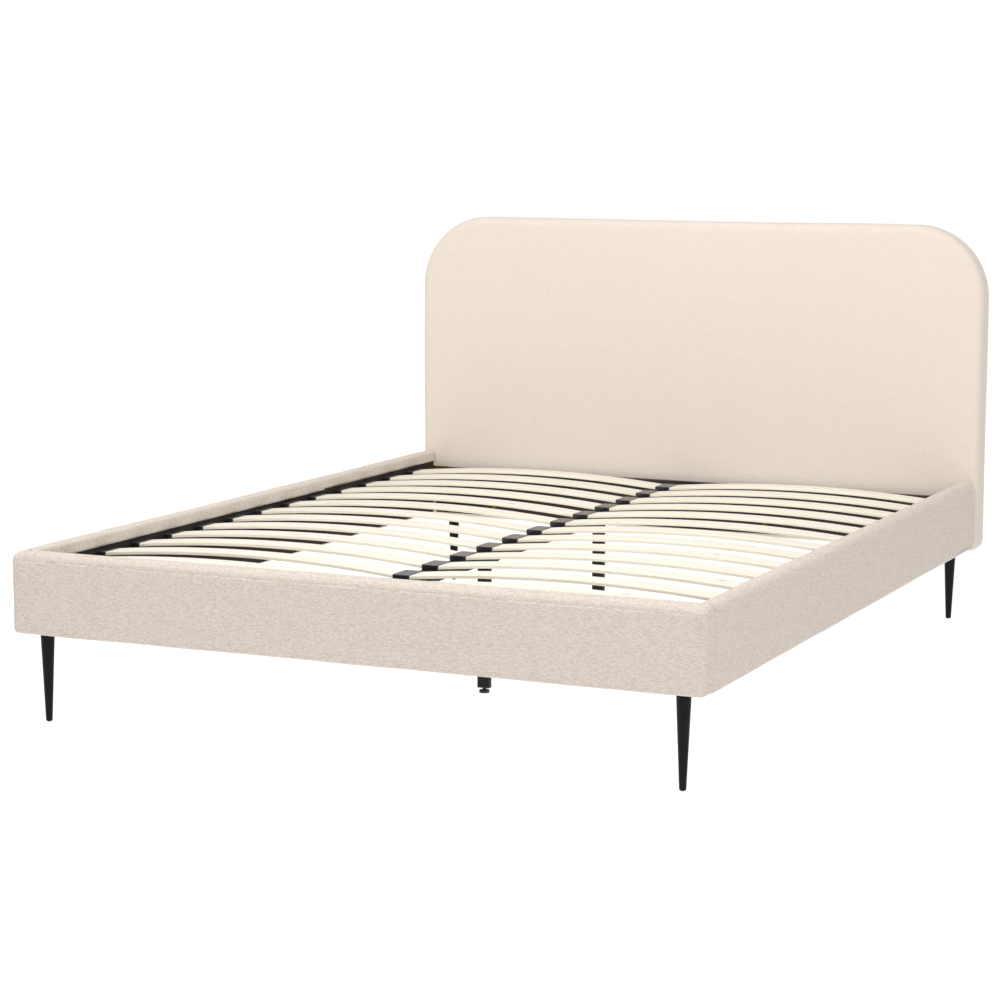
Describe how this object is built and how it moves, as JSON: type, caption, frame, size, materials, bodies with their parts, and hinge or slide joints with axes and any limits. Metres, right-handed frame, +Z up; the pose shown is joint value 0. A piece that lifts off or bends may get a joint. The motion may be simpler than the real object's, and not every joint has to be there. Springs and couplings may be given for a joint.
{
  "type": "upholstered headboard bed",
  "caption": "Low platform bed frame with cream upholstered rails, a tall round-cornered padded headboard, sprung arched wooden slats, a centre beam and tapered black legs.",
  "frame": {"origin": "on the floor at the middle of the bed's outline", "axes": "+X across the bed, +Y from the foot to the headboard, +Z up"},
  "size_m": [1.667, 2.209, 1.075],
  "materials": {
    "rail_fabric": "nubby cream looped weave",
    "headboard_fabric": "cream looped weave with a fine cross rib",
    "slat_wood": "pale laminated birch, satin",
    "frame_wood": "raw sawn timber and board",
    "ledge_wood": "black stained timber",
    "black_board": "board wrapped in black lining",
    "wadding": "white foam and wadding",
    "black_lining": "black non-woven cloth",
    "holder_plastic": "moulded black plastic with a soft sheen",
    "plug_plastic": "moulded black plastic",
    "foot_plastic": "moulded black plastic pad on a threaded stud",
    "black_metal": "satin black powder coat",
    "beam_metal": "black powder coat",
    "gold_zinc": "yellow zinc plated steel"
  },
  "bodies": {
    "bed": {"beam_hangers": "beam_metal", "centre_beam": "beam_metal", "centre_leg_back": "beam_metal", "centre_leg_front": "beam_metal", "centre_slat_holders": "holder_plastic", "corner_blocks": "frame_wood", "corner_brackets": "gold_zinc", "foot_rail_board": "frame_wood", "foot_rail_cover": "rail_fabric", "foot_rail_padding": "wadding", "frame_bolts": "gold_zinc", "head_rail": "black_board", "headboard_back_cloth": "black_lining", "headboard_bolts": "gold_zinc", "headboard_cover": "headboard_fabric", "headboard_foam": "wadding", "headboard_frame": "frame_wood", "headboard_panel": "frame_wood", "leg_back_left": "black_metal", "leg_back_right": "black_metal", "leg_end_plugs": "plug_plastic", "leg_front_left": "black_metal", "leg_front_right": "black_metal", "rail_linings": "black_lining", "side_rail_board_left": "frame_wood", "side_rail_board_right": "frame_wood", "side_rail_cover_left": "rail_fabric", "side_rail_cover_right": "rail_fabric", "side_rail_padding": "wadding", "side_slat_holders": "holder_plastic", "slat_ledges": "ledge_wood", "slat_left_01": "slat_wood", "slat_left_02": "slat_wood", "slat_left_03": "slat_wood", "slat_left_04": "slat_wood", "slat_left_05": "slat_wood", "slat_left_06": "slat_wood", "slat_left_07": "slat_wood", "slat_left_08": "slat_wood", "slat_left_09": "slat_wood", "slat_left_10": "slat_wood", "slat_left_11": "slat_wood", "slat_left_12": "slat_wood", "slat_left_13": "slat_wood", "slat_right_01": "slat_wood", "slat_right_02": "slat_wood", "slat_right_03": "slat_wood", "slat_right_04": "slat_wood", "slat_right_05": "slat_wood", "slat_right_06": "slat_wood", "slat_right_07": "slat_wood", "slat_right_08": "slat_wood", "slat_right_09": "slat_wood", "slat_right_10": "slat_wood", "slat_right_11": "slat_wood", "slat_right_12": "slat_wood", "slat_right_13": "slat_wood", "wood_screws": "gold_zinc"},
    "front_levelling_foot": {"levelling_foot_front": "foot_plastic"},
    "back_levelling_foot": {"levelling_foot_back": "foot_plastic"}
  },
  "joints": [
    {"name": "front_foot_height", "type": "slide", "parent": "bed", "child": "front_levelling_foot", "axis": [0, 0, 1], "range_m": [-0.012, 0.004]},
    {"name": "back_foot_height", "type": "slide", "parent": "bed", "child": "back_levelling_foot", "axis": [0, 0, 1], "range_m": [-0.012, 0.004]}
  ]
}
